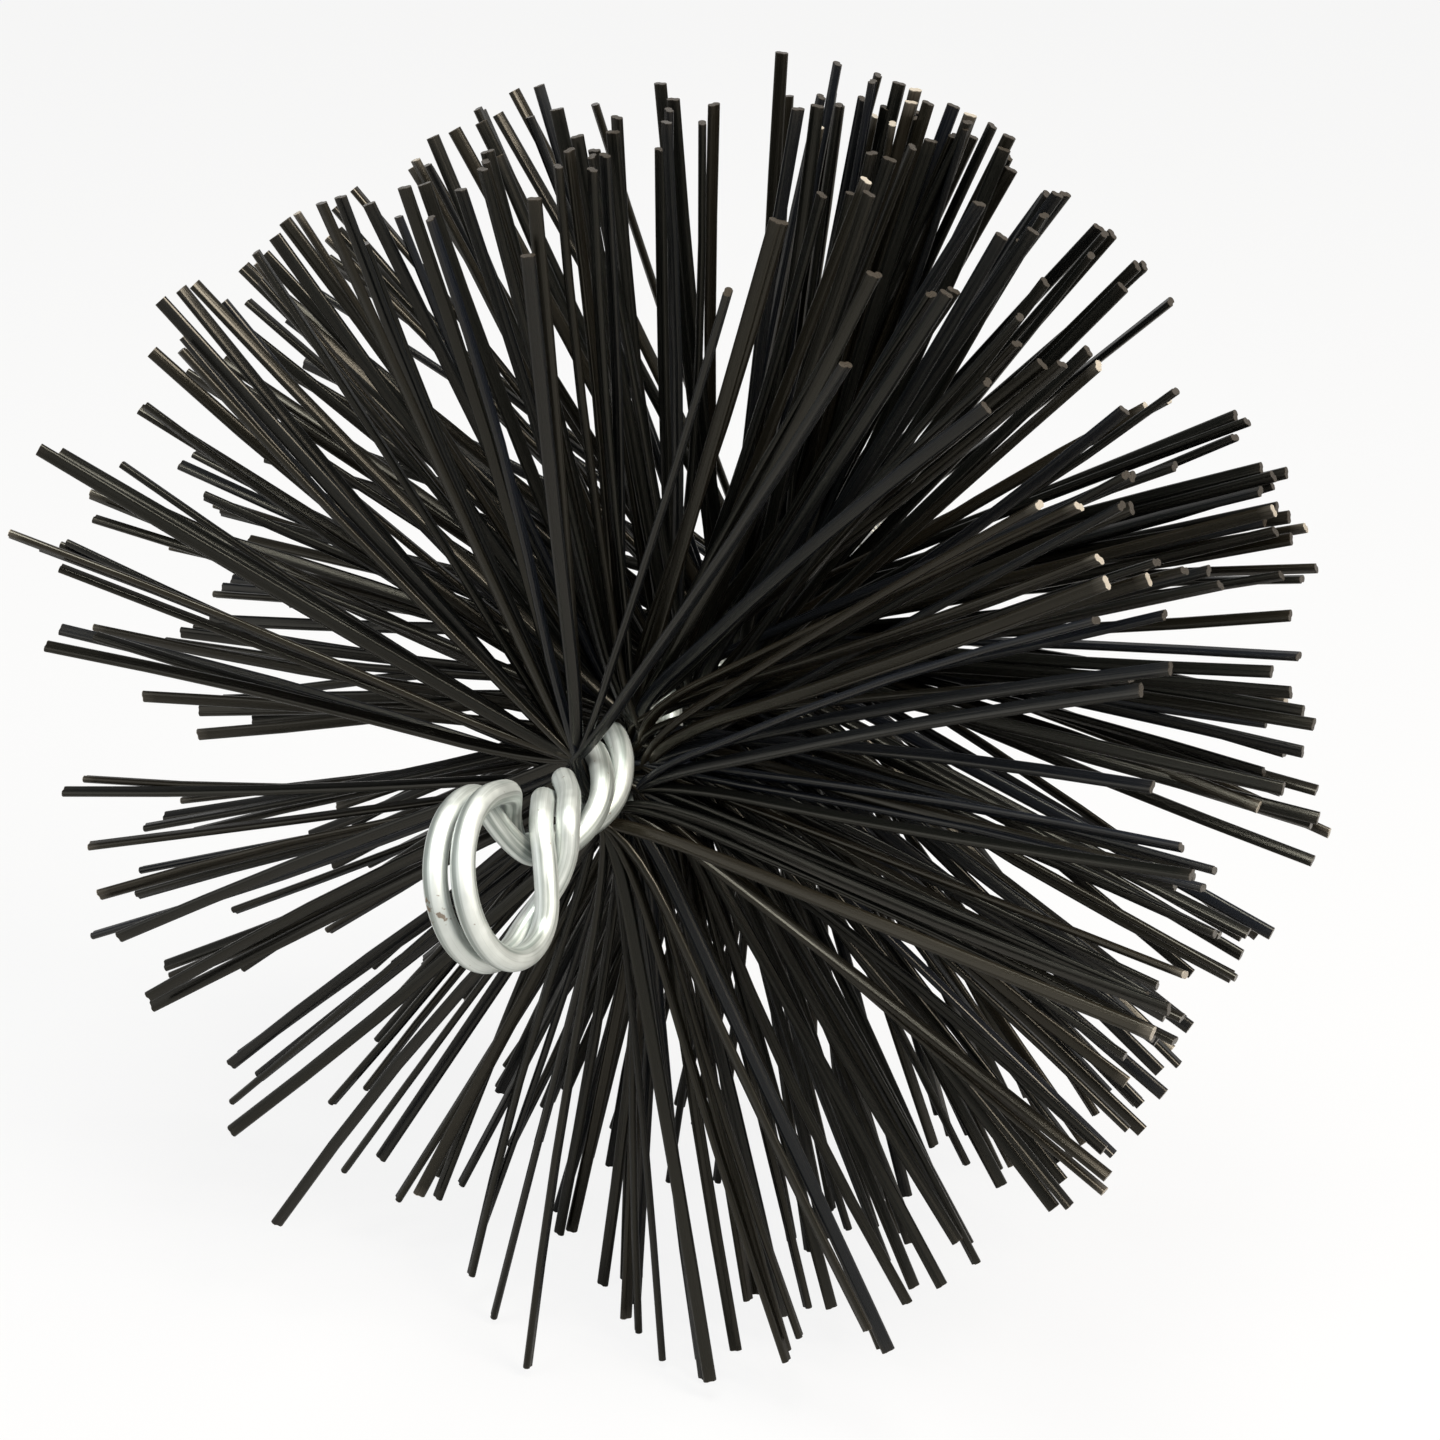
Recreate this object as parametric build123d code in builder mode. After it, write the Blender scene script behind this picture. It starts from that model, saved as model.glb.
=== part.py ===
"""Chimney sweep brush with a twisted wire core, a double wire eye and stiff plastic bristles.

The brush lies on its lowest bristle tips with its axis level. +Z is up, and the axis runs along Y.
The origin is on the axis, at the shoulder of the rod fitting. The stud points along +Y,
and the eye is at the far -Y end.
"""
from build123d import *
from math import acos, asin, cos, degrees, radians, sin, sqrt
from itertools import combinations, pairwise
import os
import random

# Wires
wire_diameter = 3.75
hairpin_gap = 0.3          # between the two wires of a pair
eye_tip_gap = 1.2          # and at the tip of the eye, where they stand further apart
eye_radius = 12.4          # centre line of each wire in the eye
eye_exit_angle = 74.0      # where a leg leaves the round of the eye, from the axis
eye_tilt = 17.0            # the eye's face is turned this far up from level
crossing_offset = 3.4      # axis to the middle of a pair, where the pairs pass each other
crossing_angle = 66.0      # slope of the pairs to the axis there
crossing_roll = -40.0      # each pair is turned this far about its own middle there
leg_fullness = 1.1         # of the legs' curves between eye and twist, 1 is plain
neck_offset = 3.5          # the same offset where the even twist starts
field_offset = 3.8         # along the bristles, which hold the pairs apart
socket_offset = 2.55       # and in the fitting
twist_pitch = 36.0         # length of one whole turn
eye_to_crossing = 13.4     # from the centre of the eye
eye_to_twist = 22.2
eye_to_field = 30.7

# Bristles
field_length = 77.0        # the stretch of core that holds bristles
brush_radius = 101.5       # longest tips
tip_spread_share = 0.09    # shortest tips fall short by this much of the radius
strand_width = 2.0         # along the brush
strand_thickness = 1.2
strand_gap = 0.12          # at least, where two strands pass
slice_count = 14
rows_per_slice = 2
strands_per_row = 8        # on each side of the core
root_step_angle = 9.0      # between neighbours where they leave the root
fan_angle = 66.0           # tips lie this far to either side of the root
tip_step_angle = 5.0       # neighbours in a row fan out by at least this, where there is room
step_give_share = 0.97     # each further try for room asks for less
tuft_rows = (1, 2, 3)      # a tuft goes on in the same direction for this many rows more
tuft_stray = 5.0           # and leans this far along the brush
front_splay = 13.0         # tips nearest the eye lean this far towards it
back_splay = -3.0          # and those nearest the rod towards the rod, so these lean to the eye too
jitter_angle = 2.0         # each strand of a tuft strays this far to either side
jitter_along = 1.0         # and this far along the brush
jitter_tries = 40          # each next try strays less
slices_compared = 3        # strands further apart than this can't meet
rest_depth = 0.5           # the lowest tips are flat for this much
rest_angle = 13.0          # tips this near to straight down reach the floor
random_seed = 11

# Root: the packed middles of the bristles, clamped between the pairs
waist_thickness = 1.9      # between the pairs
head_inner_radius = 6.8    # where the bristles fan out over the wires
head_outer_radius = 10.2
head_angle = 36.0          # half of the fan
strand_root_radius = 8.6   # strands start inside the head
section_step_angle = 10.0  # between sections of the twisted root, at most

# Rod fitting
field_to_shoulder = 27.0
sleeve_radius = 8.0
sleeve_length = 17.5
socket_clearance = 0.15    # round the four wires
socket_floor = 4.5         # solid end of the sleeve
wire_end_gap = 0.1         # wires to the floor of the socket
mouth_chamfer = 0.8
crimp_setback = 1.6        # from the mouth of the sleeve
crimp_length = 10.0
crimp_depth = 0.7          # each of the six pressed flats
crimp_sides = 6
stud_diameter = 12.0       # M12 thread
thread_pitch = 1.75
thread_depth_share = 0.61  # of the pitch
thread_crest_share = 0.22  # flat crest, of the pitch
stud_length = 18.0
stud_shank = 1.2           # plain, next to the shoulder
stud_chamfer = 1.0

# Places along the axis
field_back = -field_to_shoulder
field_front = field_back - field_length
eye_centre = field_front - eye_to_field
crossing_place = eye_centre + eye_to_crossing
twist_start = eye_centre + eye_to_twist
sleeve_mouth = -sleeve_length
socket_end = -socket_floor
wire_end = socket_end - wire_end_gap

wire_radius = wire_diameter / 2
pair_half = (wire_diameter + hairpin_gap) / 2
tip_half = (wire_diameter + eye_tip_gap) / 2
quarter_pitch = twist_pitch / 4
quarter_turns = int((sleeve_mouth - twist_start) / quarter_pitch) + 1
twist_end = twist_start + quarter_turns * quarter_pitch
bundle_radius = sqrt(socket_offset**2 + pair_half**2) + wire_radius
rest_height = brush_radius - rest_depth

# Measuring steps
sample_count = 600         # points along a wire for its least gap to itself
own_stretch = 15.0         # of the wire, left out round each point
tangent_step_share = 0.001  # of a quarter turn

axis_direction = Vector(0, 1, 0)


def place(radius, angle, y):
    """Point at a radius and an angle round the axis, counted from the normal of the eye's face."""
    turned = radians(angle + eye_tilt)
    return Vector(radius * cos(turned), y, radius * sin(turned))


def direction(across, up, along):
    """Unit vector from parts along the eye's normal, along its face and along the axis."""
    vector = place(1, 0, 0) * across + place(1, 90, 0) * up + axis_direction * along
    return vector.normalized()


def smooth(low, high, share):
    """Value that eases from low to high as the share goes from 0 to 1."""
    held = min(max(share, 0), 1)
    return low + (high - low) * held * held * (3 - 2 * held)


def twist_angle(y):
    """Angle of the clamped bristles at a place along the even twist."""
    return 360 * (y - twist_start) / twist_pitch


# Wires: the middle of a pair follows stations. At 0 the pair leaves the eye, at 1 it crosses the
# other pair, at 2 the even twist starts, and from there each station is a quarter turn.

def pair_on_twist(station):
    y = twist_start + (station - 2) * quarter_pitch
    opened = smooth(neck_offset, field_offset, (y - twist_start) / quarter_pitch)
    offset = smooth(opened, socket_offset, (y - field_back) / (sleeve_mouth - field_back))
    return place(offset, twist_angle(y) + 90, y)


def hermite(start, start_direction, end, end_direction, share):
    reach = (end - start).length * leg_fullness
    blend = share * share * (3 - 2 * share)
    pull_start = share * (1 - share) ** 2
    pull_end = share**2 * (share - 1)
    return (
        start * (1 - blend)
        + end * blend
        + start_direction * (reach * pull_start)
        + end_direction * (reach * pull_end)
    )


exit_turn = radians(eye_exit_angle)
exit_point = place(eye_radius * sin(exit_turn), -90, eye_centre + eye_radius * cos(exit_turn))
exit_direction = direction(0, cos(exit_turn), sin(exit_turn))
eye_slope = (tip_half - pair_half) / (exit_point.Y - (eye_centre - eye_radius))
crossing_point = place(crossing_offset, 0, crossing_place)
crossing_turn = radians(crossing_angle)
crossing_direction = direction(0, sin(crossing_turn), cos(crossing_turn))
twist_point = pair_on_twist(2)
twist_direction = (pair_on_twist(2 + tangent_step_share) - twist_point).normalized()


def pair_middle(station):
    if station < 1:
        return hermite(exit_point, exit_direction, crossing_point, crossing_direction, station)
    if station < 2:
        share = station - 1
        return hermite(crossing_point, crossing_direction, twist_point, twist_direction, share)
    return pair_on_twist(station)


def pair_direction(station):
    ahead = pair_middle(station + tangent_step_share)
    return (ahead - pair_middle(max(station - tangent_step_share, 0))).normalized()


def pair_roll(station):
    """The pair lies flat round the axis, and turns about its own middle near the crossing."""
    return radians(smooth(0, crossing_roll, station) - smooth(0, crossing_roll, station - 1))


def wire_middle(station, side):
    """Centre line of one wire of the pair: side is 1 or -1."""
    middle = pair_middle(station)
    along = pair_direction(station)
    flat = along.cross(middle - axis_direction * middle.Y).normalized()
    roll = pair_roll(station)
    beside = flat * cos(roll) + along.cross(flat) * sin(roll)
    return middle + beside * (side * pair_half)


def wire_direction(station, side):
    ahead = wire_middle(station + tangent_step_share, side)
    return (ahead - wire_middle(max(station - tangent_step_share, 0), side)).normalized()


def leg_knots(side):
    """Points and directions of one leg, from the eye to the socket."""
    last = 2 + quarter_turns
    stations = [0, 0.5, 1, 1.5] + list(range(2, last + 1))
    knots = [(wire_middle(s, side), wire_direction(s, side)) for s in stations]
    leaving = wire_middle(0, side)
    closing = (leaving - exit_point).normalized() * (eye_slope * exit_direction.Y)
    knots[0] = (leaving, (exit_direction - closing).normalized())
    straight_start = wire_end - wire_diameter
    final_turn = (straight_start - twist_end) / twist_pitch * 180
    end_middle = place(socket_offset, twist_angle(twist_end) + 90 + final_turn, straight_start)
    outward = end_middle - axis_direction * end_middle.Y
    beside = axis_direction.cross(outward).normalized()
    knots.append((end_middle + beside * (side * pair_half), axis_direction))
    return knots


def opposite(vector):
    """The same point half a turn round the axis."""
    return Vector(-vector.X, vector.Y, -vector.Z)


def biarc_joint(start, start_direction, end, end_direction):
    """Where two arcs meet that leave and arrive along the given directions."""
    chord = end - start
    both = start_direction + end_direction
    spread = 2 * (1 - start_direction.dot(end_direction))
    along = chord.dot(both)
    reach = chord.dot(chord) / (along + sqrt(along**2 + spread * chord.dot(chord)))
    leave = start + start_direction * reach
    arrive = end - end_direction * reach
    return (leave + arrive) * 0.5, (arrive - leave).normalized()


def wire_knots(side):
    """The whole wire: down one leg, round the eye and back along the other."""
    leg = leg_knots(side)
    other_leg = leg_knots(-side)
    first_leg = [(opposite(point), -opposite(way)) for point, way in reversed(other_leg)]
    eye_normal = (leg[0][0] - exit_point).normalized()
    eye_tip = axis_direction * (eye_centre - eye_radius) + eye_normal * tip_half
    tip_direction = direction(0, -1, 0)
    return first_leg + [(eye_tip, tip_direction)] + leg


def least_gap(points, skipped_length):
    """Least gap of a wire to itself, leaving out its own neighbouring stretch."""
    step = (points[1] - points[0]).length
    skipped = int(skipped_length / step) + 1
    pairs = combinations(range(len(points)), 2)
    return min((points[i] - points[j]).length for i, j in pairs if j - i > skipped) - wire_diameter


def draw_wire(knots):
    """Centre line of a wire: a straight end, arcs through the knots, and a straight end."""
    first, first_direction = knots[0]
    last, last_direction = knots[-1]
    Line(first - first_direction * wire_diameter, first)
    for (start, start_direction), (end, end_direction) in pairwise(knots):
        joint, joint_direction = biarc_joint(start, start_direction, end, end_direction)
        TangentArc(start, joint, tangent=start_direction)
        TangentArc(joint, end, tangent=joint_direction)
    Line(last, last + last_direction * wire_diameter)


def finish(piece, name):
    piece.part.label = name
    export_step(piece.part, f"parts/{name}.step")


os.makedirs("parts", exist_ok=True)

for name, side in (("wire_near", 1), ("wire_far", -1)):
    knots = wire_knots(side)
    with BuildPart() as wire:
        with BuildLine() as path:
            draw_wire(knots)
        centre_line = path.wires()[0]
        with BuildSketch(Plane(origin=centre_line @ 0, z_dir=centre_line % 0)):
            Circle(wire_radius)
        sweep(path=centre_line)
    samples = [centre_line @ (i / sample_count) for i in range(sample_count + 1)]
    gap = least_gap(samples, own_stretch)
    print(f"{name}: length {centre_line.length:.1f}, least gap to itself {gap:.2f}")
    finish(wire, name)


# Rod fitting: a sleeve pressed on the four wires, with a threaded stud

socket_radius = bundle_radius + socket_clearance
stud_radius = stud_diameter / 2
core_radius = stud_radius - thread_depth_share * thread_pitch
crest = thread_crest_share * thread_pitch
ridge_count = int((stud_length - stud_shank - stud_chamfer) / thread_pitch)


def ridge_outline(start):
    """One thread ridge, from root to root, as radius and place along the axis."""
    flank = (thread_pitch - 2 * crest) / 2
    return [
        (core_radius, start + crest / 2),
        (stud_radius, start + crest / 2 + flank),
        (stud_radius, start + crest / 2 + flank + crest),
        (core_radius, start + thread_pitch - crest / 2),
    ]


stud_outline = [(0, 0), (stud_radius, 0), (stud_radius, stud_shank), (core_radius, stud_shank)]
for ridge in range(ridge_count):
    stud_outline += ridge_outline(stud_shank + ridge * thread_pitch)
last_crest_end = stud_outline[-2][1]
print(f"rod_fitting: the stud's wall ends {last_crest_end:.2f} from the shoulder")
stud_outline += [
    (core_radius, stud_length - stud_chamfer),
    (core_radius - stud_chamfer, stud_length),
    (0, stud_length),
]

with BuildPart() as rod_fitting:
    with BuildSketch(Plane.XY):
        with BuildLine():
            Polyline(
                (0, 0),
                (0, socket_end),
                (socket_radius, socket_end),
                (socket_radius, sleeve_mouth + mouth_chamfer),
                (socket_radius + mouth_chamfer, sleeve_mouth),
                (sleeve_radius - mouth_chamfer, sleeve_mouth),
                (sleeve_radius, sleeve_mouth + mouth_chamfer),
                (sleeve_radius, -mouth_chamfer),
                (sleeve_radius - mouth_chamfer, 0),
                close=True,
            )
        make_face()
    revolve(axis=Axis.Y)
    crimp_end = Plane.XZ.offset(-(sleeve_mouth + crimp_setback + crimp_length))
    with BuildSketch(crimp_end):
        Circle(sleeve_radius + crimp_depth)
        RegularPolygon(
            sleeve_radius - crimp_depth, crimp_sides, major_radius=False, mode=Mode.SUBTRACT
        )
    extrude(amount=crimp_length, mode=Mode.SUBTRACT)
    with BuildSketch(Plane.XY):
        with BuildLine():
            Polyline(*stud_outline, close=True)
        make_face()
    revolve(axis=Axis.Y)
finish(rod_fitting, "rod_fitting")


# Bristles: each slice of the root carries its strands

slice_length = field_length / slice_count
row_length = slice_length / rows_per_slice
strands_per_slice = rows_per_slice * strands_per_row * 2
near_count = strands_per_slice * slices_compared
clear_gap = strand_thickness + strand_gap
steps_per_slice = int(360 * slice_length / twist_pitch / section_step_angle) + 1
draw = random.Random(random_seed)


def root_plane(y):
    return Plane(origin=(0, y, 0), x_dir=place(1, twist_angle(y), 0), z_dir=(0, 1, 0))


def root_half_outline():
    """Half of the root's section: the waist runs out to a head that fans over the wires."""
    waist = waist_thickness / 2
    waist_angle = degrees(asin(waist / head_inner_radius))
    waist_end = head_inner_radius * cos(radians(waist_angle))
    fan = head_angle - waist_angle
    outer_start = Vector(head_outer_radius, 0).rotate(Axis.Z, -head_angle)
    outer_end = Vector(head_outer_radius, 0).rotate(Axis.Z, head_angle)
    inner_start = Vector(head_inner_radius, 0).rotate(Axis.Z, -head_angle)
    inner_end = Vector(head_inner_radius, 0).rotate(Axis.Z, head_angle)
    Line((0, -waist), (waist_end, -waist))
    CenterArc((0, 0), head_inner_radius, -head_angle, fan)
    Line(inner_start, outer_start)
    CenterArc((0, 0), head_outer_radius, -head_angle, 2 * head_angle)
    Line(outer_end, inner_end)
    CenterArc((0, 0), head_inner_radius, waist_angle, fan)
    Line((waist_end, waist), (0, waist))


def next_tufts(tufts, ribbon):
    """Tufts of the next row on one side: those that go on and still lie in the fan, and new ones.
    Each is the angle of its tips, its lean along the brush and the rows that it has left."""
    lasting = [tuft for tuft in tufts if tuft[2] and abs(tuft[0] - ribbon) < fan_angle]
    row = [(angle, stray, rows_left - 1) for angle, stray, rows_left in lasting]
    least = tip_step_angle
    while len(row) < strands_per_row:
        angle = ribbon + draw.uniform(-fan_angle, fan_angle)
        if all(abs(angle - tuft[0]) > least for tuft in row):
            row.append((angle, draw.uniform(-tuft_stray, tuft_stray), draw.choice(tuft_rows)))
        least = least * step_give_share
    return sorted(row)


def strand_ends(y_root, root_angle, tuft, stray_share):
    """Root and full tip of one strand of a tuft."""
    tip_angle = tuft[0] + draw.uniform(-jitter_angle, jitter_angle) * stray_share
    stray = (tuft[1] + draw.uniform(-jitter_along, jitter_along)) * stray_share
    back_share = (y_root - field_front) / field_length
    lean = back_splay * back_share - front_splay * (1 - back_share)
    root = place(strand_root_radius, root_angle, y_root)
    return root, place(brush_radius, tip_angle, y_root + lean + stray)


def passing_gap(first, second):
    """Least distance between two strands beyond the head, as if they were square."""
    first_way, second_way = (tip - root for root, tip in (first, second))
    root_gap, tip_gap = (a - b for a, b in zip(first, second))
    if first_way.dot(second_way) < 0:
        return tip_gap.length
    exit_share = (head_outer_radius - strand_root_radius) / (brush_radius - strand_root_radius)
    exit_gap = root_gap + (tip_gap - root_gap) * exit_share
    sideways = axis_direction.cross(first_way + second_way).normalized()
    squeeze = strand_thickness / strand_width
    start = (exit_gap.dot(sideways), exit_gap.Y * squeeze)
    end = (tip_gap.dot(sideways), tip_gap.Y * squeeze)
    shares = [0, 1]
    for mix in ((1, 0), (0, 1), (1, 1), (1, -1)):
        at_start = mix[0] * start[0] + mix[1] * start[1]
        at_end = mix[0] * end[0] + mix[1] * end[1]
        if at_start * at_end < 0:
            shares.append(at_start / (at_start - at_end))
    return min(max(abs(a + (b - a) * share) for a, b in zip(start, end)) for share in shares)


def settle(y_root, root_angle, tuft, placed):
    """The first draw of a strand that clears all the others, or none."""
    for chance in range(jitter_tries, -1, -1):
        ends = strand_ends(y_root, root_angle, tuft, chance / jitter_tries)
        if all(passing_gap(ends, other) > clear_gap for other in placed):
            return ends
    return None


def place_strands():
    """All strands, row by row, none crossing another. One that finds no room is left out."""
    placed = []
    tufts = {0: [], 180: []}
    for row in range(slice_count * rows_per_slice):
        y_root = field_front + (row + 0.5) * row_length
        for side in tufts:
            ribbon = twist_angle(y_root) + side
            tufts[side] = next_tufts(tufts[side], ribbon)
            for count, tuft in enumerate(tufts[side]):
                root_angle = ribbon + (count - (strands_per_row - 1) / 2) * root_step_angle
                ends = settle(y_root, root_angle, tuft, placed[-near_count:])
                if ends:
                    placed.append(ends)
    return placed


def cut_to_length(root, tip):
    """The strand with its own reach: the lowest ones go down to the floor."""
    below = -tip.Z / brush_radius
    reach = brush_radius * (1 - tip_spread_share * draw.random() ** 2)
    if degrees(acos(below)) < rest_angle:
        reach = brush_radius / below
    return root, root + (tip - root) * ((reach - strand_root_radius) / (tip - root).length)


def strand(root, tip):
    """A straight strand with its flat side along the brush."""
    way = (tip - root).normalized()
    flat = (axis_direction - way * way.dot(axis_direction)).normalized()
    section = Plane(origin=root, x_dir=flat, z_dir=way) * Rectangle(strand_width, strand_thickness)
    return extrude(section, amount=(tip - root).length)


all_strands = place_strands()
gaps = [
    passing_gap(first, second)
    for i, first in enumerate(all_strands)
    for second in all_strands[max(i - near_count, 0):i]
]
print(f"{len(all_strands)} strands, at least {min(gaps) - strand_thickness:.2f} apart")

floor = Plane.XY.offset(-rest_height)
for number in range(slice_count):
    slice_front = field_front + number * slice_length
    slice_back = slice_front + slice_length
    own = [ends for ends in all_strands if slice_front < ends[0].Y < slice_back]
    strands = [strand(*cut_to_length(root, tip)) for root, tip in own]
    levels = [slice_front + slice_length * i / steps_per_slice for i in range(steps_per_slice + 1)]
    with BuildPart() as bristles:
        with BuildSketch(*[root_plane(y) for y in levels]):
            with BuildLine():
                root_half_outline()
                mirror(about=Plane.YZ)
            make_face()
        loft(ruled=True)
        add(strands)
        split(bisect_by=floor, keep=Keep.TOP)
    finish(bristles, f"bristles_{number + 1:02d}")
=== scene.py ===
"""Looks of the chimney sweep brush: galvanised wires, black bristles and a plated rod fitting.

Lengths are in metres. The axis of the brush runs along Y, the wire eye is at the -Y end,
and the brush lies on its lowest bristle tips.
"""

from math import cos, hypot, pi, radians, sin, tau

import bpy
from mathutils import Matrix, Vector


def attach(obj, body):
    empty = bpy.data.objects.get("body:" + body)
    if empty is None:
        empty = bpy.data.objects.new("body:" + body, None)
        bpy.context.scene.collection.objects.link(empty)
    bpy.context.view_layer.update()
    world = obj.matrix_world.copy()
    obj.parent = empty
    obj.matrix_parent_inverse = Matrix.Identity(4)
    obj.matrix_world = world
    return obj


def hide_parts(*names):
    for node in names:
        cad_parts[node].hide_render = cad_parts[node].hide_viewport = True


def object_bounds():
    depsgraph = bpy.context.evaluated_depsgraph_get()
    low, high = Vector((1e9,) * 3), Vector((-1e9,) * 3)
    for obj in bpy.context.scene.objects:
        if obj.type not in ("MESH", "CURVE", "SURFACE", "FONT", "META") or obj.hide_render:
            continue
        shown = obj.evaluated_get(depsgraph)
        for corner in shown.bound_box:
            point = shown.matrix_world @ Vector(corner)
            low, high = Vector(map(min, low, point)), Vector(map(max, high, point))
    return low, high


MM = 0.001

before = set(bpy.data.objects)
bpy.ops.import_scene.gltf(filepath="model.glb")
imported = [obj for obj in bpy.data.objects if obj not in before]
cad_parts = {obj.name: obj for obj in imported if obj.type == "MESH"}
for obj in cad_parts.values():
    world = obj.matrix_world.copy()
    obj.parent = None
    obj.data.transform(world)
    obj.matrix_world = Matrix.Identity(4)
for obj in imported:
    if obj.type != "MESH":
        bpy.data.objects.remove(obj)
cad_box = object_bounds()
floor_height = cad_box[0].z
bristle_nodes = sorted(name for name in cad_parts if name.startswith("bristles"))

# Wires, as in the solids
wire_diameter = 3.75 * MM
hairpin_gap = 0.3 * MM         # between the two wires of a pair
eye_tip_gap = 1.2 * MM         # and at the tip of the eye
eye_radius = 12.4 * MM         # centre line of each wire in the eye
eye_exit = radians(74)         # where a leg leaves the round of the eye
eye_tilt = radians(17)         # the eye's face is turned this far up from level
crossing_offset = 3.4 * MM     # axis to the middle of a pair, where the pairs pass each other
crossing_angle = radians(66)
crossing_roll = radians(-40)
leg_fullness = 1.1
neck_offset = 3.5 * MM         # the same offset where the even twist starts
field_offset = 3.8 * MM        # along the bristles
socket_offset = 2.55 * MM      # and in the fitting
twist_pitch = 36 * MM          # length of one whole turn
field_back = -27 * MM          # end of the bristles nearest the rod
field_length = 77 * MM
sleeve_mouth = -17.5 * MM
wire_end = -4.6 * MM
field_front = field_back - field_length
eye_centre = field_front - 30.7 * MM
crossing_place = eye_centre + 13.4 * MM
twist_start = eye_centre + 22.2 * MM
field_middle = Vector((0, (field_front + field_back) / 2, 0))
wire_step = 0.8 * MM           # length of one face along a wire
faces_around_wire = 20
stain_place = (-2.4 * MM, eye_centre - 14 * MM, 0.4 * MM)  # brown stain at the tip of the eye
small_step = 0.001             # of a station, to find which way a wire runs

# Bristles
bristle_width = 2.2 * MM
bristle_thickness = 1.4 * MM
groove_depth = 0.35            # share of the thickness
clamp_radius = 5.6 * MM        # a bristle comes out between the wire pairs here
clamp_layers = 0.4 * MM        # clamped bristles lie this far to each side of the band's middle
bend_share = 0.15              # share of a bristle's free length over which its root still bends
bow = 1.2 * MM                 # the most that a bristle leaves its straight line
root_reach = 20 * MM           # nearer the axis than this is the root
tip_reach = 70 * MM            # and further out than this are only tips
full_from = -40 * MM           # from here to the rod the rows are fuller
twin_angles = (radians(5.5), radians(9.5))
layer_seed = 11
bend_seed = 105
roll_seed = 106
shade_seed = 107
sharp_edge = radians(75)       # an edge that bends more than this is not smoothed

# Camera, at the photograph's angle
photo_azimuth = radians(25)
photo_elevation = radians(25)
camera_distance = 0.62
lens_length = 94.5             # mm, on a sensor 36 mm wide
aim_right = 4.8 * MM           # the picture's centre lies this far right of the field's middle
aim_down = 3.5 * MM


def linear(hex_colour):
    """Linear colour from an sRGB hex value."""
    parts = [int(hex_colour[i:i + 2], 16) / 255 for i in (1, 3, 5)]
    straight = [p / 12.92 if p <= 0.04045 else ((p + 0.055) / 1.055) ** 2.4 for p in parts]
    return (*straight, 1)


def add_node(tree, kind, inputs=None, **settings):
    """Adds a node. An input takes a value, another node's first output, or a socket."""
    node = tree.nodes.new(kind)
    for name, value in settings.items():
        setattr(node, name, value)
    for key, value in (inputs or {}).items():
        if isinstance(value, bpy.types.Node):
            value = value.outputs[0]
        if isinstance(value, bpy.types.NodeSocket):
            tree.links.new(value, node.inputs[key])
        else:
            node.inputs[key].default_value = value
    return node


def new_geometry_tree(name, inputs):
    """A Geometry Nodes tree with the named inputs, each a socket type and a value."""
    tree = bpy.data.node_groups.new(name, "GeometryNodeTree")
    for title, (kind, value) in inputs.items():
        socket = tree.interface.new_socket(title, in_out="INPUT", socket_type=kind)
        if value is not None:
            socket.default_value = value
    tree.interface.new_socket("Geometry", in_out="OUTPUT", socket_type="NodeSocketGeometry")
    return tree


def finish_tree(tree, shape, material):
    """Smooth faces between sharp edges, realized instances and the material end a tree."""
    sharp = add_node(tree, "FunctionNodeCompare", {
        0: add_node(tree, "GeometryNodeInputMeshEdgeAngle"), 1: sharp_edge},
        data_type="FLOAT", operation="LESS_THAN")
    smooth_edges = add_node(tree, "GeometryNodeSetShadeSmooth", {
        "Geometry": shape, "Shade Smooth": sharp}, domain="EDGE")
    whole = add_node(tree, "GeometryNodeRealizeInstances", {0: smooth_edges})
    finished = add_node(tree, "GeometryNodeSetMaterial", {
        "Geometry": whole, "Material": material})
    add_node(tree, "NodeGroupOutput", {0: finished})


def grow(name, tree, values, base):
    """A plain mesh object that a tree makes from a mesh, with the given values on its inputs."""
    maker = bpy.data.objects.new(name + "_maker", base)
    bpy.context.scene.collection.objects.link(maker)
    modifier = maker.modifiers.new(name, "NODES")
    modifier.node_group = tree
    for item in tree.interface.items_tree:
        if item.in_out == "INPUT" and item.name in values:
            modifier[item.identifier] = values[item.name]
    depsgraph = bpy.context.evaluated_depsgraph_get()
    mesh = bpy.data.meshes.new_from_object(maker.evaluated_get(depsgraph))
    bpy.data.objects.remove(maker)
    piece = bpy.data.objects.new(name, mesh)
    bpy.context.scene.collection.objects.link(piece)
    return piece


# Materials

def new_material(name):
    """A material with its node tree and its shader."""
    material = bpy.data.materials.new(name)
    material.use_nodes = True
    tree = material.node_tree
    return material, tree, tree.nodes["Principled BSDF"]


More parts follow.
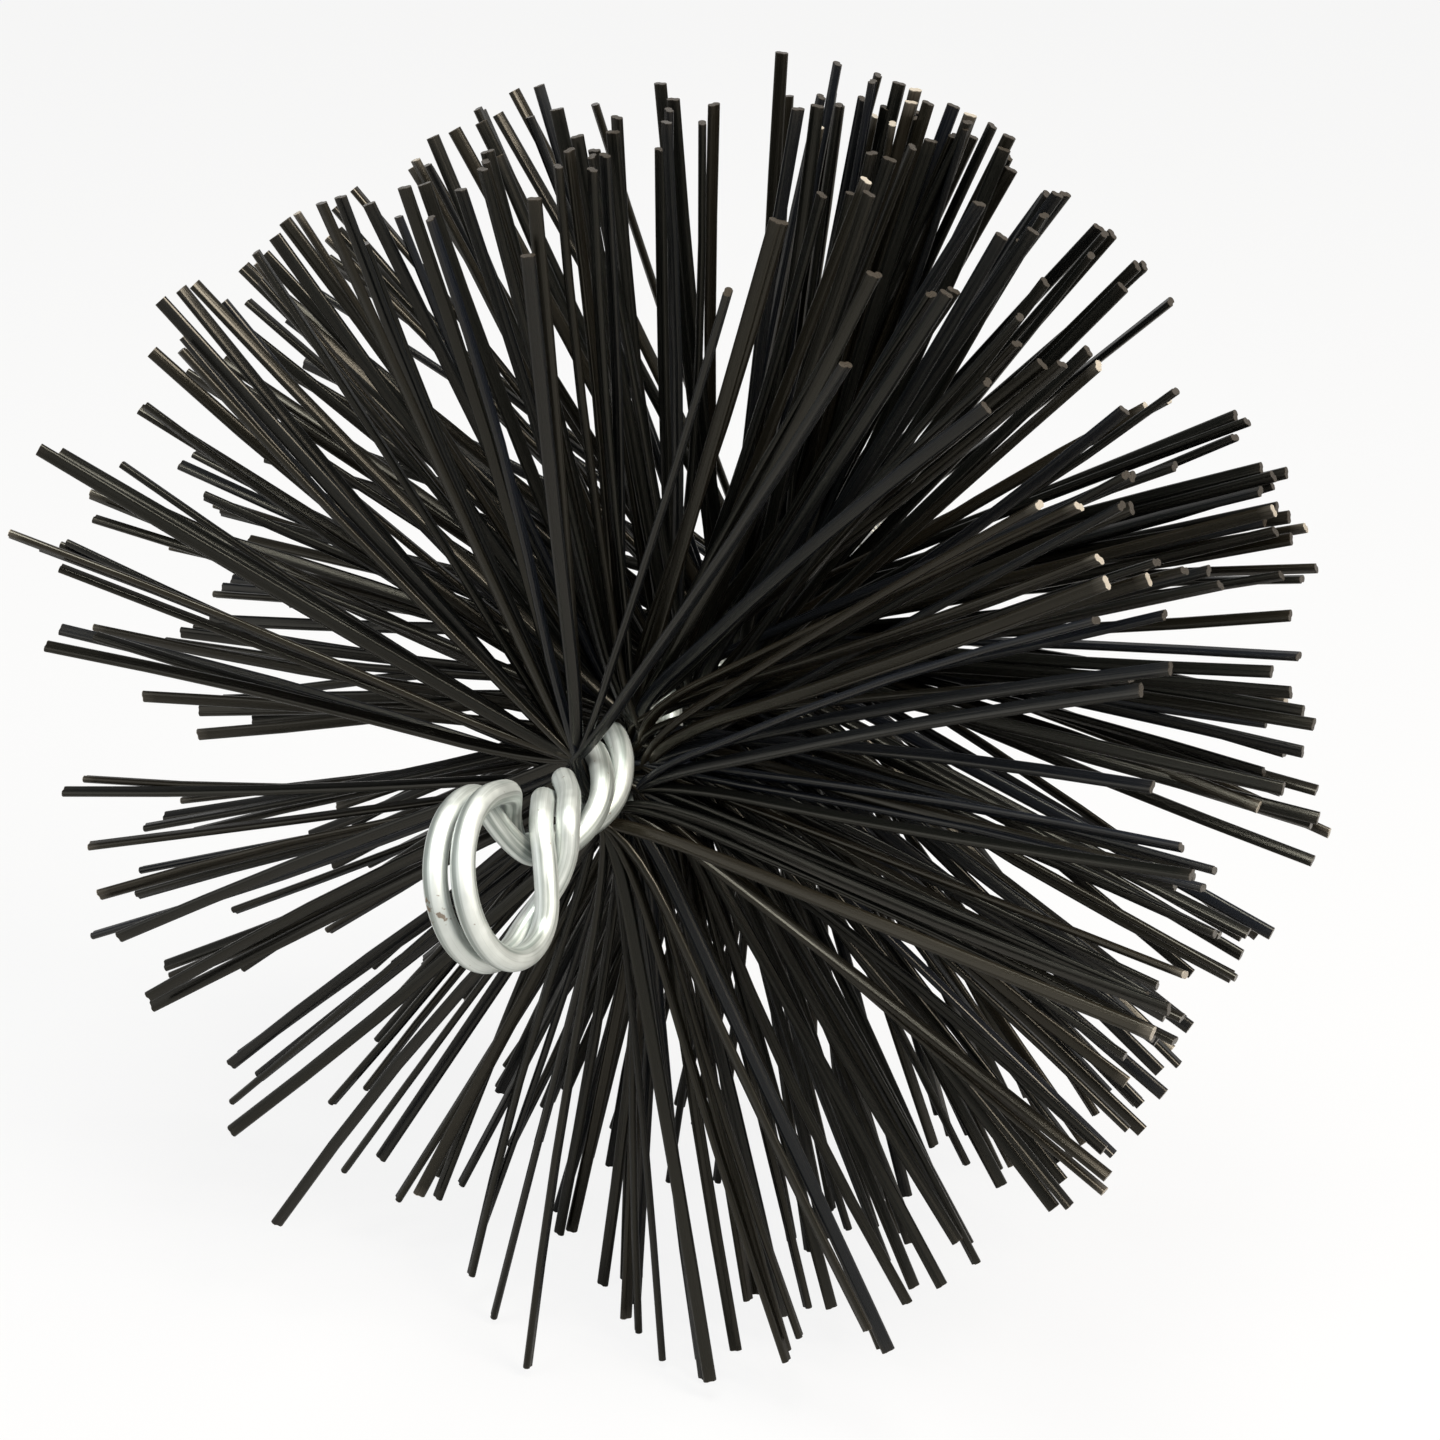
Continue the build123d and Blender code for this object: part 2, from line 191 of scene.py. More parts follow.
def extruded_polypropylene():
    """Black polypropylene drawn through a die: deep black with a satin shine, a painted blue-grey
    sheen on some strands, fine lines along each strand and a cut end that is pale where the cut
    has frayed it and where it is painted as catching the light."""
    lines_around = 9.0         # die lines 0.4 mm wide, coarser than real ones, to show
    lines_along = 2.0          # and about 30 mm long
    lines_scale = 1.6
    strand_places = 731.0      # each strand has a place of its own in the pattern
    batches = 37.0             # and a shade of its own
    blue_sheen_below = 0.25        # shares of the strands
    brownish_above = 0.6
    frayed_and_lit_above = 0.86
    scuffed_from = 0.975       # share of the strand's length
    scuffing = 0.3
    cut_from, cut_to = 0.9985, 0.9995
    smoothest, roughest = 0.17, 0.36
    material, tree, surface = new_material("Extruded black polypropylene")
    strand = add_node(tree, "ShaderNodeAttribute", attribute_name="strand")
    along = add_node(tree, "ShaderNodeAttribute", attribute_name="along")
    around = add_node(tree, "ShaderNodeAttribute", attribute_name="around")
    place = add_node(tree, "ShaderNodeCombineXYZ", {
        "X": add_node(tree, "ShaderNodeMath", {0: around.outputs["Fac"], 1: lines_around},
                      operation="MULTIPLY"),
        "Y": add_node(tree, "ShaderNodeMath", {0: strand.outputs["Fac"], 1: strand_places},
                      operation="MULTIPLY"),
        "Z": add_node(tree, "ShaderNodeMath", {0: along.outputs["Fac"], 1: lines_along},
                      operation="MULTIPLY")})
    lines = add_node(tree, "ShaderNodeTexNoise", {
        "Vector": place, "Scale": lines_scale, "Detail": 4.0})
    batch = add_node(tree, "ShaderNodeMath", {
        0: add_node(tree, "ShaderNodeMath", {0: strand.outputs["Fac"], 1: batches},
                    operation="MULTIPLY")}, operation="FRACT")
    # Painted sheen: a share of the strands gets a blue-grey base colour that stands in for the
    # blue-grey sheen on them
    painted_blue_sheen = add_node(tree, "ShaderNodeMapRange", {
        "Value": batch, "From Min": blue_sheen_below, "From Max": 0.0})
    black_and_blue_sheen = add_node(tree, "ShaderNodeMix", {
        0: painted_blue_sheen, 6: linear("#090a09"), 7: linear("#12151b")}, data_type="RGBA")
    brownish = add_node(tree, "ShaderNodeMapRange", {
        "Value": batch, "From Min": brownish_above, "From Max": 1.0})
    tint = add_node(tree, "ShaderNodeMix", {
        0: brownish, 6: black_and_blue_sheen.outputs[2], 7: linear("#17140e")}, data_type="RGBA")
    # Painted highlight: the pale end colour on a share of the strands stands for frayed plastic
    # and also for cut ends that catch the light
    frayed_and_lit = add_node(tree, "ShaderNodeMath", {0: batch, 1: frayed_and_lit_above},
                      operation="GREATER_THAN")
    end_colour = add_node(tree, "ShaderNodeMix", {
        0: frayed_and_lit, 6: linear("#2b2722"), 7: linear("#8a847a")}, data_type="RGBA")
    worn = add_node(tree, "ShaderNodeMapRange", {
        "Value": along.outputs["Fac"], "From Min": scuffed_from, "From Max": 1.0})
    scuffed = add_node(tree, "ShaderNodeMath", {
        0: worn, 1: add_node(tree, "ShaderNodeMath", {0: lines.outputs["Fac"], 1: scuffing},
                             operation="MULTIPLY")}, operation="MULTIPLY")
    scuffed_colour = add_node(tree, "ShaderNodeMix", {
        0: scuffed, 6: tint.outputs[2], 7: end_colour.outputs[2]}, data_type="RGBA")
    cut = add_node(tree, "ShaderNodeMapRange", {
        "Value": along.outputs["Fac"], "From Min": cut_from, "From Max": cut_to})
    colour = add_node(tree, "ShaderNodeMix", {
        0: cut, 6: scuffed_colour.outputs[2], 7: end_colour.outputs[2]}, data_type="RGBA")
    roughness = add_node(tree, "ShaderNodeMapRange", {
        "Value": lines.outputs["Fac"], "From Min": 0.3, "From Max": 0.7,
        "To Min": smoothest, "To Max": roughest})
    bump = add_node(tree, "ShaderNodeBump", {
        "Height": lines.outputs["Fac"], "Strength": 0.6, "Distance": 0.08 * MM})
    tree.links.new(colour.outputs[2], surface.inputs["Base Color"])
    tree.links.new(roughness.outputs[0], surface.inputs["Roughness"])
    tree.links.new(bump.outputs[0], surface.inputs["Normal"])
    surface.inputs["IOR"].default_value = 1.49
    surface.inputs["Specular IOR Level"].default_value = 0.3
    surface.inputs["Specular Tint"].default_value = linear("#fbf6e6")
    return material


def galvanised_wire():
    """Drawn steel wire with a dull zinc coat: whitish, with dark die lines along it that also
    paint the dark stripes of reflected light, a cloudy bloom, and a few brown specks where the
    coat is thin."""
    lines_scale = 1.7          # die lines about 1 mm wide, with finer ones in them
    lines_along = 0.014 / MM   # and 40 mm long
    cloud_scale = 0.26 / MM    # clouds about 4 mm across
    speck_scale = 0.9 / MM     # specks about 1 mm across
    stain_core, stain_edge = 0.6 * MM, 3.5 * MM  # specks grow this near to the stain's place
    smoothest, roughest = 0.4, 0.55
    material, tree, surface = new_material("Galvanised drawn steel wire")
    place = add_node(tree, "ShaderNodeTexCoord")
    along = add_node(tree, "ShaderNodeAttribute", attribute_name="along")
    around = add_node(tree, "ShaderNodeAttribute", attribute_name="around")
    ring = add_node(tree, "ShaderNodeSeparateXYZ", {0: around.outputs["Vector"]})
    drawn = add_node(tree, "ShaderNodeCombineXYZ", {
        "X": ring.outputs["X"], "Y": ring.outputs["Y"],
        "Z": add_node(tree, "ShaderNodeMath", {0: along.outputs["Fac"], 1: lines_along},
                      operation="MULTIPLY")})
    die_lines = add_node(tree, "ShaderNodeTexNoise", {
        "Vector": drawn, "Scale": lines_scale, "Detail": 4.0, "Roughness": 0.55})
    cloud = add_node(tree, "ShaderNodeTexNoise", {
        "Vector": place.outputs["Object"], "Scale": cloud_scale, "Detail": 4.0,
        "Roughness": 0.6})
    bloom = add_node(tree, "ShaderNodeMix", {
        0: cloud.outputs["Fac"], 6: linear("#b9c0bd"), 7: linear("#dde2e0")}, data_type="RGBA")
    # The dark lines along the wire are die lines and also painted reflection: they stand in for
    # the dark stripes between the bright bands that the lamps leave on the wire
    dark_line_and_reflection = add_node(tree, "ShaderNodeMapRange", {
        "Value": die_lines.outputs["Fac"], "From Min": 0.38, "From Max": 0.56,
        "To Min": 0.9, "To Max": 0.0})
    lines_and_reflections = add_node(tree, "ShaderNodeMix", {
        0: dark_line_and_reflection, 6: bloom.outputs[2], 7: linear("#828a86")}, data_type="RGBA")
    specks = add_node(tree, "ShaderNodeTexNoise", {
        "Vector": place.outputs["Object"], "Scale": speck_scale, "Detail": 2.0})
    near_stain = add_node(tree, "ShaderNodeVectorMath", {
        0: place.outputs["Object"], 1: stain_place}, operation="DISTANCE")
    stained = add_node(tree, "ShaderNodeMapRange", {
        "Value": near_stain.outputs["Value"], "From Min": stain_core, "From Max": stain_edge,
        "To Min": 0.24, "To Max": 0.0})
    brown = add_node(tree, "ShaderNodeMapRange", {
        "Value": add_node(tree, "ShaderNodeMath", {0: specks.outputs["Fac"], 1: stained},
                          operation="ADD"),
        "From Min": 0.72, "From Max": 0.8, "To Max": 0.8})
    colour = add_node(tree, "ShaderNodeMix", {
        0: brown, 6: lines_and_reflections.outputs[2], 7: linear("#6d5640")}, data_type="RGBA")
    roughness = add_node(tree, "ShaderNodeMapRange", {
        "Value": cloud.outputs["Fac"], "From Min": 0.3, "From Max": 0.7,
        "To Min": smoothest, "To Max": roughest})
    bump = add_node(tree, "ShaderNodeBump", {
        "Height": die_lines.outputs["Fac"], "Strength": 0.35, "Distance": 0.1 * MM})
    tree.links.new(colour.outputs[2], surface.inputs["Base Color"])
    tree.links.new(roughness.outputs[0], surface.inputs["Roughness"])
    tree.links.new(bump.outputs[0], surface.inputs["Normal"])
    surface.inputs["Metallic"].default_value = 0.75
    return material


def zinc_plate():
    """Turned steel with bright zinc plate: fine lines round the axis and a soft even shine."""
    lines_scale = (0.04 / MM, 5 / MM, 0.04 / MM)  # turning marks 0.2 mm wide, round the axis
    smoothest, roughest = 0.22, 0.38
    material, tree, surface = new_material("Bright zinc plated turned steel")
    place = add_node(tree, "ShaderNodeTexCoord")
    stretched = add_node(tree, "ShaderNodeMapping", {
        "Vector": place.outputs["Object"], "Scale": lines_scale})
    lines = add_node(tree, "ShaderNodeTexNoise", {
        "Vector": stretched, "Scale": 1.0, "Detail": 3.0})
    roughness = add_node(tree, "ShaderNodeMapRange", {
        "Value": lines.outputs["Fac"], "From Min": 0.3, "From Max": 0.7,
        "To Min": smoothest, "To Max": roughest})
    bump = add_node(tree, "ShaderNodeBump", {
        "Height": lines.outputs["Fac"], "Strength": 0.2, "Distance": 0.05 * MM})
    tree.links.new(roughness.outputs[0], surface.inputs["Roughness"])
    tree.links.new(bump.outputs[0], surface.inputs["Normal"])
    surface.inputs["Base Color"].default_value = linear("#c6c7c4")
    surface.inputs["Metallic"].default_value = 1.0
    return material


# Bristles

def read_strands():
    """Where each strand of the solids leaves the root and where it ends, from its long edges."""
    strands = []
    for name in bristle_nodes:
        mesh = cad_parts[name].data
        corners = [tuple(round(part / MM, 3) for part in vertex.co) for vertex in mesh.vertices]
        groups = []
        for edge in mesh.edges:
            inner, outer = sorted((corners[i] for i in edge.vertices),
                                  key=lambda corner: hypot(corner[0], corner[2]))
            if hypot(inner[0], inner[2]) * MM > root_reach:
                continue
            if hypot(outer[0], outer[2]) * MM < tip_reach:
                continue
            whole = ({inner}, {outer})
            for group in [g for g in groups if inner in g[0] or outer in g[1]]:
                whole[0].update(group[0])
                whole[1].update(group[1])
                groups.remove(group)
            groups.append(whole)
        for group in groups:
            ends = [sum((Vector(c) for c in end), Vector()) / len(end) * MM for end in group]
            strands.append(ends)
    return strands


def with_twins(strands):
    """The last rows are fuller on the upper right, where the photograph shows nothing of the
    fitting: each strand there has others beside it."""
    fuller = list(strands)
    for angle in twin_angles:
        turn = Matrix.Rotation(angle, 3, "Y")
        for root, tip in strands:
            if root.y > full_from and tip.x > 0 and tip.z > 0:
                fuller.append((turn @ root, turn @ tip))
    return fuller


def strand_points(strands):
    """A mesh of one point where each strand leaves the root, with its tip as an attribute."""
    mesh = bpy.data.meshes.new("strand_points")
    mesh.from_pydata([root for root, tip in strands], [], [])
    tips = mesh.attributes.new("tip", "FLOAT_VECTOR", "POINT")
    for i, (root, tip) in enumerate(strands):
        tips.data[i].vector = tip
    return mesh


def bristle_tree():
    """Bristles clamped along a twisted core: each leaves the core between the pairs of wires,
    fans out over them and runs to its tip with a slight bow."""
    tree = new_geometry_tree("Bristles on a twisted core", {
        "Strands": ("NodeSocketGeometry", None),
        "Twist Start": ("NodeSocketFloat", -0.1),
        "Twist Pitch": ("NodeSocketFloat", 0.04),
        "First Angle": ("NodeSocketFloat", 0.0),
        "Clamp Radius": ("NodeSocketFloat", 0.005),
        "Clamp Layers": ("NodeSocketFloat", 0.0003),
        "Bend Share": ("NodeSocketFloat", 0.2),
        "Bow": ("NodeSocketFloat", 0.002),
        "Width": ("NodeSocketFloat", 0.002),
        "Thickness": ("NodeSocketFloat", 0.001),
        "Groove": ("NodeSocketFloat", 0.2),
        "Floor Height": ("NodeSocketFloat", -0.1),
        "Seed": ("NodeSocketInt", 1),
        "Material": ("NodeSocketMaterial", None)})
    given = add_node(tree, "NodeGroupInput").outputs
    number = add_node(tree, "GeometryNodeInputIndex")
    root = add_node(tree, "GeometryNodeInputPosition")
    tip = add_node(tree, "GeometryNodeInputNamedAttribute", {"Name": "tip"},
                   data_type="FLOAT_VECTOR")

    # The clamped bristles lie in a band that turns along the core
    y_root = add_node(tree, "ShaderNodeSeparateXYZ", {0: root}).outputs["Y"]
    turns = add_node(tree, "ShaderNodeMath", {
        0: add_node(tree, "ShaderNodeMath", {0: y_root, 1: given["Twist Start"]},
                    operation="SUBTRACT"), 1: given["Twist Pitch"]}, operation="DIVIDE")
    band = add_node(tree, "ShaderNodeMath", {0: turns, 1: tau, 2: given["First Angle"]},
                    operation="MULTIPLY_ADD")
    outward = add_node(tree, "ShaderNodeVectorRotate", {
        "Vector": (1.0, 0.0, 0.0), "Angle": band}, rotation_type="Y_AXIS", invert=True)
    leans = add_node(tree, "ShaderNodeVectorMath", {0: outward, 1: root}, operation="DOT_PRODUCT")
    side = add_node(tree, "ShaderNodeMath", {0: leans.outputs["Value"]}, operation="SIGN")
    layer = add_node(tree, "FunctionNodeRandomValue", {
        2: -1.0, 3: 1.0, "ID": number, "Seed": given["Seed"]}, data_type="FLOAT")
    across = add_node(tree, "ShaderNodeMath", {0: layer.outputs[1], 1: given["Clamp Layers"]},
                      operation="MULTIPLY")
    reach = add_node(tree, "ShaderNodeMath", {0: side, 1: given["Clamp Radius"]},
                     operation="MULTIPLY")
    places = []
    for radius in (0.0, reach):
        flat = add_node(tree, "ShaderNodeCombineXYZ", {"X": radius, "Y": y_root, "Z": across})
        places.append(add_node(tree, "ShaderNodeVectorRotate", {"Vector": flat, "Angle": band},
                               rotation_type="Y_AXIS", invert=True))

    # Each bristle keeps its places, the way it bows, its roll and its shade
    bend = add_node(tree, "FunctionNodeRandomValue", {
        0: (-1.0, -1.0, -1.0), 1: (1.0, 1.0, 1.0), "ID": number, "Seed": bend_seed},
        data_type="FLOAT_VECTOR")
    roll = add_node(tree, "FunctionNodeRandomValue", {
        2: 0.0, 3: pi, "ID": number, "Seed": roll_seed}, data_type="FLOAT")
    shade = add_node(tree, "FunctionNodeRandomValue", {
        2: 0.0, 3: 1.0, "ID": number, "Seed": shade_seed}, data_type="FLOAT")
    kept = add_node(tree, "GeometryNodeCaptureAttribute", {0: given["Strands"]}, domain="POINT")
    wanted = [("VECTOR", p.outputs[0]) for p in (*places, root, tip, bend)]
    wanted += [("FLOAT", roll.outputs[1]), ("FLOAT", shade.outputs[1])]
    for i, (kind, source) in enumerate(wanted):
        kept.capture_items.new(kind, f"Kept {i}")
        tree.links.new(source, kept.inputs[i + 1])
    core, clamp, root, tip, bend, roll, shade = (
        kept.outputs[i + 1] for i in range(len(wanted)))

    # A line for each bristle starts on the axis, passes the clamp at its second point, bends round
    # the place where it leaves the root and is free from its seventh point to its last
    clamp_point, free_point, last_point = 1, 6, 10
    line = add_node(tree, "GeometryNodeResampleCurve", {
        "Curve": add_node(tree, "GeometryNodeCurvePrimitiveLine"), "Count": last_point + 1})
    lines = add_node(tree, "GeometryNodeRealizeInstances", {
        0: add_node(tree, "GeometryNodeInstanceOnPoints", {
            "Points": kept.outputs[0], "Instance": line})})
    factor = add_node(tree, "GeometryNodeSplineParameter").outputs["Factor"]
    free = add_node(tree, "ShaderNodeMix", {0: given["Bend Share"], 4: root, 5: tip},
                    data_type="VECTOR").outputs[1]
    turning = add_node(tree, "ShaderNodeMapRange", {
        "Value": factor, "From Min": clamp_point / last_point,
        "From Max": free_point / last_point})
    leaving = add_node(tree, "ShaderNodeMix", {0: turning, 4: clamp, 5: root},
                       data_type="VECTOR").outputs[1]
    arriving = add_node(tree, "ShaderNodeMix", {0: turning, 4: root, 5: free},
                        data_type="VECTOR").outputs[1]
    curved = add_node(tree, "ShaderNodeMix", {0: turning, 4: leaving, 5: arriving},
                      data_type="VECTOR").outputs[1]
    shaped = core
    for start, end, target in ((0, clamp_point, curved), (free_point, last_point, tip)):
        passed = add_node(tree, "ShaderNodeMapRange", {
            "Value": factor, "From Min": start / last_point, "From Max": end / last_point})
        shaped = add_node(tree, "ShaderNodeMix", {0: passed, 4: shaped, 5: target},
                          data_type="VECTOR").outputs[1]
    swell = add_node(tree, "ShaderNodeMath", {
        0: add_node(tree, "ShaderNodeMath", {0: passed, 1: pi}, operation="MULTIPLY")},
        operation="SINE")
    bowed = add_node(tree, "ShaderNodeVectorMath", {
        0: bend, "Scale": add_node(tree, "ShaderNodeMath", {0: swell, 1: given["Bow"]},
                                   operation="MULTIPLY")}, operation="SCALE")
    placed = add_node(tree, "GeometryNodeSetPosition", {
        "Geometry": lines, "Position": add_node(tree, "ShaderNodeVectorMath", {
            0: shaped, 1: bowed}, operation="ADD")})
    rolled = add_node(tree, "GeometryNodeSetCurveTilt", {"Curve": placed, "Tilt": roll})
    with_along = add_node(tree, "GeometryNodeStoreNamedAttribute", {
        "Geometry": rolled, "Name": "along", "Value": factor}, data_type="FLOAT", domain="POINT")
    with_strand = add_node(tree, "GeometryNodeStoreNamedAttribute", {
        "Geometry": with_along, "Name": "strand", "Value": shade}, data_type="FLOAT",
        domain="POINT")

    # The section is a flat oval with a groove along the middle of each face
    groove_half_width = 0.2        # share of the width
    ring = add_node(tree, "GeometryNodeCurvePrimitiveCircle", {"Resolution": 12, "Radius": 0.5})
    at = add_node(tree, "ShaderNodeSeparateXYZ", {0: add_node(tree, "GeometryNodeInputPosition")})
    hollow = add_node(tree, "ShaderNodeMapRange", {
        "Value": add_node(tree, "ShaderNodeMath", {0: at.outputs["X"]}, operation="ABSOLUTE"),
        "From Max": groove_half_width, "To Min": add_node(tree, "ShaderNodeMath", {
            0: 1.0, 1: given["Groove"]}, operation="SUBTRACT"), "To Max": 1.0})
    section_x = add_node(tree, "ShaderNodeMath", {0: at.outputs["X"], 1: given["Width"]},
                         operation="MULTIPLY")
    section_y = add_node(tree, "ShaderNodeMath", {
        0: add_node(tree, "ShaderNodeMath", {0: at.outputs["Y"], 1: given["Thickness"]},
                    operation="MULTIPLY"), 1: hollow}, operation="MULTIPLY")
    section = add_node(tree, "GeometryNodeSetPosition", {
        "Geometry": ring, "Position": add_node(tree, "ShaderNodeCombineXYZ", {
            "X": section_x, "Y": section_y})})
    with_around = add_node(tree, "GeometryNodeStoreNamedAttribute", {
        "Geometry": section, "Name": "around", "Value": factor}, data_type="FLOAT",
        domain="POINT")
    swept = add_node(tree, "GeometryNodeCurveToMesh", {
        "Curve": with_strand, "Profile Curve": with_around, "Fill Caps": True})

    # Tips that reach below the floor are flattened on it
    at_floor = add_node(tree, "ShaderNodeVectorMath", {
        0: add_node(tree, "GeometryNodeInputPosition"),
        1: add_node(tree, "ShaderNodeCombineXYZ", {
            "X": -1.0, "Y": -1.0, "Z": given["Floor Height"]})}, operation="MAXIMUM")
    standing = add_node(tree, "GeometryNodeSetPosition", {
        "Geometry": swept, "Position": at_floor})
    finish_tree(tree, standing, given["Material"])
    return tree


bristles = grow("bristles", bristle_tree(), {
    "Twist Start": twist_start,
    "Twist Pitch": twist_pitch,
    "First Angle": eye_tilt,
    "Clamp Radius": clamp_radius,
    "Clamp Layers": clamp_layers,
    "Bend Share": bend_share,
    "Bow": bow,
    "Width": bristle_width,
    "Thickness": bristle_thickness,
    "Groove": groove_depth,
    "Floor Height": floor_height,
    "Seed": layer_seed,
    "Material": extruded_polypropylene()}, strand_points(with_twins(read_strands())))
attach(bristles, "root")
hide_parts(*bristle_nodes)


# Wires

def on_axis(radius, angle, y):
    """Point at a radius and an angle round the axis, counted from the normal of the eye's face."""
    return Vector((radius * cos(angle + eye_tilt), y, radius * sin(angle + eye_tilt)))


along_axis = Vector((0, 1, 0))
across_eye = on_axis(1, 0, 0)
up_eye = on_axis(1, pi / 2, 0)


def smooth(low, high, share):
    """Value that eases from low to high as the share goes from 0 to 1."""
    held = min(max(share, 0), 1)
    return low + (high - low) * held * held * (3 - 2 * held)


def pair_on_twist(station):
    """Middle of a pair on the even twist, four stations to a turn."""
    y = twist_start + (station - 2) * twist_pitch / 4
    opened = smooth(neck_offset, field_offset, (y - twist_start) / (twist_pitch / 4))
    offset = smooth(opened, socket_offset, (y - field_back) / (sleeve_mouth - field_back))
    return on_axis(offset, tau * (y - twist_start) / twist_pitch + pi / 2, y)


def hermite(start, start_way, end, end_way, share):
    """Point of a smooth curve that leaves its start and meets its end in the given ways."""
    reach = (end - start).length * leg_fullness
    blend = share * share * (3 - 2 * share)
    return (start * (1 - blend) + end * blend + start_way * (reach * share * (1 - share) ** 2)
            + end_way * (reach * share**2 * (share - 1)))


def pair_middle(station):
    """Middle of a pair: it leaves the eye at 0, crosses the other pair at 1 and twists from 2."""
    leaving = along_axis * (eye_centre + eye_radius * cos(eye_exit))
    leaving -= up_eye * (eye_radius * sin(eye_exit))
    leaving_way = up_eye * cos(eye_exit) + along_axis * sin(eye_exit)
    crossing = across_eye * crossing_offset + along_axis * crossing_place
    crossing_way = up_eye * sin(crossing_angle) + along_axis * cos(crossing_angle)
    twist = pair_on_twist(2)
    twist_way = (pair_on_twist(2 + small_step) - twist).normalized()
    if station < 1:
        return hermite(leaving, leaving_way, crossing, crossing_way, station)
    if station < 2:
        return hermite(crossing, crossing_way, twist, twist_way, station - 1)
    return pair_on_twist(station)


def wire_point(station, side):
    """Centre line of one wire of the pair: side is 1 or -1."""
    middle = pair_middle(station)
    ahead, behind = pair_middle(station + small_step), pair_middle(max(station - small_step, 0))
    way = (ahead - behind).normalized()
    flat = way.cross(middle - along_axis * middle.y).normalized()
    roll = smooth(0, crossing_roll, station) - smooth(0, crossing_roll, station - 1)
    beside = flat * cos(roll) + way.cross(flat) * sin(roll)
    return middle + beside * (side * (wire_diameter + hairpin_gap) / 2)


def wire_path(side):
    """Points of a whole wire: down one leg, round the eye and back along the other."""
    steps_per_station = 10
    last = 2 + int((wire_end - wire_diameter - twist_start) / (twist_pitch / 4))
    stations = [i / steps_per_station for i in range(last * steps_per_station + 1)]
    leg = [wire_point(station, side) for station in stations]
    other = [wire_point(station, -side) for station in stations]
    for points in (leg, other):
        points.append(Vector((points[-1].x, wire_end, points[-1].z)))
    opposite = [Vector((-point.x, point.y, -point.z)) for point in reversed(other)]
    start = eye_centre + eye_radius * cos(eye_exit)
    normal = (leg[0] - pair_middle(0)).normalized()
    spread = (eye_tip_gap - hairpin_gap) / 2 / (start - (eye_centre - eye_radius))
    eye = []
    eye_steps = 48
    for i in range(1, eye_steps):
        turned = eye_exit + (tau - 2 * eye_exit) * i / eye_steps
        y = eye_centre + eye_radius * cos(turned)
        away = (wire_diameter + hairpin_gap) / 2 + spread * (start - y)
        eye.append(along_axis * y + up_eye * (eye_radius * sin(turned)) + normal * away)
    return opposite + eye + leg


def wire_tree():
    """Round wire along a path, with its length along and its place around kept for the finish."""
    tree = new_geometry_tree("Drawn wire", {
        "Path": ("NodeSocketGeometry", None),
        "Diameter": ("NodeSocketFloat", 0.004),
        "Step": ("NodeSocketFloat", 0.0008),
        "Faces Around": ("NodeSocketInt", 20),
        "Material": ("NodeSocketMaterial", None)})
    given = add_node(tree, "NodeGroupInput").outputs
    path = add_node(tree, "GeometryNodeResampleCurve", {
        "Curve": add_node(tree, "GeometryNodeMeshToCurve", {0: given["Path"]}),
        "Length": given["Step"]}, mode="LENGTH")
    parameter = add_node(tree, "GeometryNodeSplineParameter").outputs
    with_along = add_node(tree, "GeometryNodeStoreNamedAttribute", {
        "Geometry": path, "Name": "along", "Value": parameter["Length"]}, data_type="FLOAT",
        domain="POINT")
    ring = add_node(tree, "GeometryNodeCurvePrimitiveCircle", {
        "Resolution": given["Faces Around"],
        "Radius": add_node(tree, "ShaderNodeMath", {0: given["Diameter"], 1: 0.5},
                           operation="MULTIPLY")})
    with_around = add_node(tree, "GeometryNodeStoreNamedAttribute", {
        "Geometry": ring, "Name": "around", "Value": add_node(tree, "ShaderNodeVectorMath", {
            0: add_node(tree, "GeometryNodeInputPosition")}, operation="NORMALIZE")},
        data_type="FLOAT_VECTOR", domain="POINT")
    swept = add_node(tree, "GeometryNodeCurveToMesh", {
        "Curve": with_along, "Profile Curve": with_around, "Fill Caps": True})
    finish_tree(tree, swept, given["Material"])
    return tree


def polyline(name, points):
    """A mesh of edges from point to point."""
    mesh = bpy.data.meshes.new(name)
    mesh.from_pydata(points, [(i, i + 1) for i in range(len(points) - 1)], [])
    return mesh


drawn_wire = wire_tree()
wire_finish = galvanised_wire()
for node, side in (("wire_near", 1), ("wire_far", -1)):
    wire = grow("drawn_" + node, drawn_wire, {
        "Diameter": wire_diameter,
        "Step": wire_step,
        "Faces Around": faces_around_wire,
        "Material": wire_finish}, polyline("path_of_" + node, wire_path(side)))
    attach(wire, "root")
    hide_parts(node)

fitting_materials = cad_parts["rod_fitting"].data.materials
fitting_materials.clear()
fitting_materials.append(zinc_plate())


# Floor, light and camera

